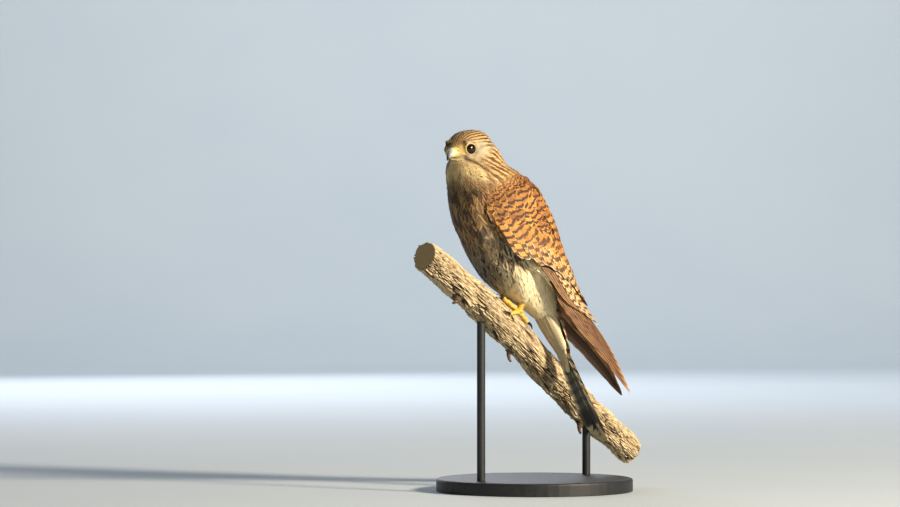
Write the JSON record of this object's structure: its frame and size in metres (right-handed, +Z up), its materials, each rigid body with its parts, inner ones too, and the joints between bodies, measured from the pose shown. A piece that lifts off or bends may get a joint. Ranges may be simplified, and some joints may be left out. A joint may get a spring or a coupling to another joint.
{
  "type": "common kestrel display model",
  "caption": "Life-size perched falcon with closed wings and hanging tail, gripping a cut length of branch that rods hold over a round base.",
  "frame": {"origin": "middle of the base's underside", "axes": "+Z up, +X to the right of the picture's view, and +Y away from its viewer"},
  "size_m": [0.2241, 0.2306, 0.3478],
  "materials": {
    "breast_plumage": "soft body feathers, buff with dark streaks",
    "back_plumage": "close contour feathers, rufous with dark bars",
    "pale_plumage": "downy cream thigh feathers",
    "flight_feather": "stiff brown flight feathers with pale edges",
    "tail_feather": "stiff barred tail feathers",
    "eye": "dark wet eye",
    "bill_horn": "horn with a yellow cere",
    "leg_skin": "scaled yellow skin",
    "claw_horn": "black horn",
    "bark": "furrowed weathered bark",
    "stand_metal": "satin black"
  },
  "bodies": {
    "root": {"torso": "breast_plumage", "neck": "back_plumage", "head": "back_plumage", "bill_upper": "bill_horn", "bill_lower": "bill_horn", "eye_left": "eye", "eye_right": "eye", "wing_left": "flight_feather", "wing_right": "flight_feather", "tail": "tail_feather", "thigh_left": "pale_plumage", "thigh_right": "pale_plumage", "foot_left": "leg_skin", "foot_right": "leg_skin", "claw_left_inner": "claw_horn", "claw_left_middle": "claw_horn", "claw_left_outer": "claw_horn", "claw_left_hind": "claw_horn", "claw_right_inner": "claw_horn", "claw_right_middle": "claw_horn", "claw_right_outer": "claw_horn", "claw_right_hind": "claw_horn", "perch_branch": "bark", "stand_base": "stand_metal", "stand_rod_1": "stand_metal", "stand_rod_2": "stand_metal"}
  },
  "joints": []
}
